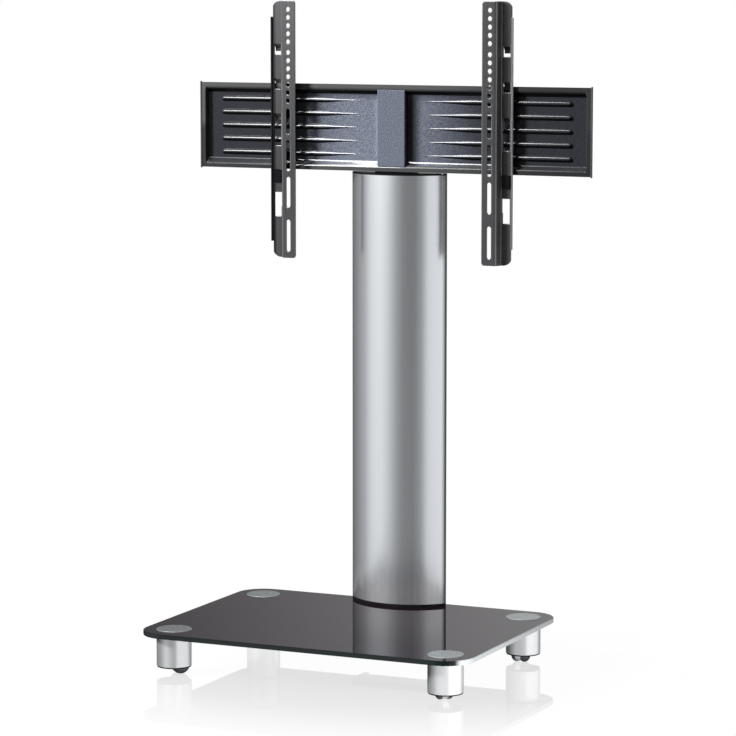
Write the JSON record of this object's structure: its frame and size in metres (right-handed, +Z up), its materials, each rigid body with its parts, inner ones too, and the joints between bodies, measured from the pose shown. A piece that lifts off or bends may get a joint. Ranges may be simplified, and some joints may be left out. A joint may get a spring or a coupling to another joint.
{
  "type": "television stand with mount",
  "caption": "Floor stand for a television: smoked glass base on hidden casters, curved aluminium column, pressed crossbar and hook-on arms that slide to suit the screen.",
  "frame": {"origin": "on the floor under the middle of the glass base", "axes": "+Z up, the front faces -Y, +X to the right seen from the front"},
  "size_m": [0.711, 0.426, 1.0873],
  "materials": {
    "smoked_glass": "polished, tinted nearly black",
    "spun_aluminium": "spun in fine rings",
    "polished_aluminium": "polished",
    "satin_aluminium": "brushed lengthwise and anodised",
    "silver_plastic": "silver",
    "wheel_plastic": "dark, slightly glossy",
    "black_plastic": "moulded, fine texture",
    "black_rubber": "matt",
    "black_steel": "powder coated",
    "zinc_steel": "zinc plated",
    "crossbar_paint": "anthracite with fine metallic speckle",
    "cover_paint": "blue grey with metallic speckle",
    "arm_paint": "dark grey powder coat",
    "lock_plastic": "moulded"
  },
  "bodies": {
    "stand": {"base_glass": "smoked_glass", "foot_disc_front_left": "spun_aluminium", "foot_sleeve_front_left": "polished_aluminium", "foot_ring_front_left": "black_plastic", "foot_disc_front_right": "spun_aluminium", "foot_sleeve_front_right": "polished_aluminium", "foot_ring_front_right": "black_plastic", "foot_disc_back_left": "spun_aluminium", "foot_sleeve_back_left": "polished_aluminium", "foot_ring_back_left": "black_plastic", "foot_disc_back_right": "spun_aluminium", "foot_sleeve_back_right": "polished_aluminium", "foot_ring_back_right": "black_plastic", "column_profile": "satin_aluminium", "column_back_panel": "black_plastic", "column_plinth": "black_plastic", "column_cap": "black_plastic", "cap_screws": "zinc_steel", "steel_post": "black_steel", "post_foot_plate": "black_steel", "post_plug": "black_plastic", "glass_pad": "black_rubber", "clamp_pad": "black_rubber", "clamp_plate": "black_steel", "clamp_bolts": "zinc_steel", "crossbar_tray": "crossbar_paint", "end_plate_left": "black_plastic", "end_plate_right": "black_plastic", "tray_bracket": "black_steel", "bracket_screws": "zinc_steel", "tray_rivets": "crossbar_paint", "centre_cover": "cover_paint"},
    "left_arm": {"left_arm": "arm_paint"},
    "right_arm": {"right_arm": "arm_paint"},
    "left_lock": {"left_arm_lock": "lock_plastic"},
    "right_lock": {"right_arm_lock": "lock_plastic"},
    "caster_front_left": {"caster_body_front_left": "silver_plastic", "caster_axle_front_left": "zinc_steel"},
    "roll_a_front_left": {"wheel_a_front_left": "wheel_plastic"},
    "roll_b_front_left": {"wheel_b_front_left": "wheel_plastic"},
    "caster_front_right": {"caster_body_front_right": "silver_plastic", "caster_axle_front_right": "zinc_steel"},
    "roll_a_front_right": {"wheel_a_front_right": "wheel_plastic"},
    "roll_b_front_right": {"wheel_b_front_right": "wheel_plastic"},
    "caster_back_left": {"caster_body_back_left": "silver_plastic", "caster_axle_back_left": "zinc_steel"},
    "roll_a_back_left": {"wheel_a_back_left": "wheel_plastic"},
    "roll_b_back_left": {"wheel_b_back_left": "wheel_plastic"},
    "caster_back_right": {"caster_body_back_right": "silver_plastic", "caster_axle_back_right": "zinc_steel"},
    "roll_a_back_right": {"wheel_a_back_right": "wheel_plastic"},
    "roll_b_back_right": {"wheel_b_back_right": "wheel_plastic"}
  },
  "joints": [
    {"name": "swivel_front_left", "type": "hinge", "parent": "stand", "child": "caster_front_left", "pos_m": [-0.2405, -0.1635, 0.045], "axis": [0, 0, 1], "continuous": true},
    {"name": "wheel_a_spin_front_left", "type": "hinge", "parent": "caster_front_left", "child": "roll_a_front_left", "pos_m": [-0.23381, -0.15748, 0.015], "axis": [-0.6691, 0.7431, 0], "continuous": true},
    {"name": "wheel_b_spin_front_left", "type": "hinge", "parent": "caster_front_left", "child": "roll_b_front_left", "pos_m": [-0.23381, -0.15748, 0.015], "axis": [-0.6691, 0.7431, 0], "continuous": true},
    {"name": "swivel_front_right", "type": "hinge", "parent": "stand", "child": "caster_front_right", "pos_m": [0.2405, -0.1635, 0.045], "axis": [0, 0, 1], "continuous": true},
    {"name": "wheel_a_spin_front_right", "type": "hinge", "parent": "caster_front_right", "child": "roll_a_front_right", "pos_m": [0.23496, -0.15641, 0.015], "axis": [-0.788, -0.6157, 0], "continuous": true},
    {"name": "wheel_b_spin_front_right", "type": "hinge", "parent": "caster_front_right", "child": "roll_b_front_right", "pos_m": [0.23496, -0.15641, 0.015], "axis": [-0.788, -0.6157, 0], "continuous": true},
    {"name": "swivel_back_left", "type": "hinge", "parent": "stand", "child": "caster_back_left", "pos_m": [-0.2405, 0.1635, 0.045], "axis": [0, 0, 1], "continuous": true},
    {"name": "wheel_a_spin_back_left", "type": "hinge", "parent": "caster_back_left", "child": "roll_a_back_left", "pos_m": [-0.24896, 0.16658, 0.015], "axis": [-0.342, -0.9397, 0], "continuous": true},
    {"name": "wheel_b_spin_back_left", "type": "hinge", "parent": "caster_back_left", "child": "roll_b_back_left", "pos_m": [-0.24896, 0.16658, 0.015], "axis": [-0.342, -0.9397, 0], "continuous": true},
    {"name": "swivel_back_right", "type": "hinge", "parent": "stand", "child": "caster_back_right", "pos_m": [0.2405, 0.1635, 0.045], "axis": [0, 0, 1], "continuous": true},
    {"name": "wheel_a_spin_back_right", "type": "hinge", "parent": "caster_back_right", "child": "roll_a_back_right", "pos_m": [0.24019, 0.15451, 0.015], "axis": [0.9994, -0.0349, 0], "continuous": true},
    {"name": "wheel_b_spin_back_right", "type": "hinge", "parent": "caster_back_right", "child": "roll_b_back_right", "pos_m": [0.24019, 0.15451, 0.015], "axis": [0.9994, -0.0349, 0], "continuous": true},
    {"name": "left_arm_slide", "type": "slide", "parent": "stand", "child": "left_arm", "axis": [-1, 0, 0], "range_m": [-0.1324, 0.1176]},
    {"name": "left_lock_pull", "type": "slide", "parent": "left_arm", "child": "left_lock", "axis": [0, 0, -1], "range_m": [0, 0.005], "stiffness_N_per_m": 200, "springref_m": -0.003},
    {"name": "right_arm_slide", "type": "slide", "parent": "stand", "child": "right_arm", "axis": [1, 0, 0], "range_m": [-0.1324, 0.1176]},
    {"name": "right_lock_pull", "type": "slide", "parent": "right_arm", "child": "right_lock", "axis": [0, 0, -1], "range_m": [0, 0.005], "stiffness_N_per_m": 200, "springref_m": -0.003}
  ]
}
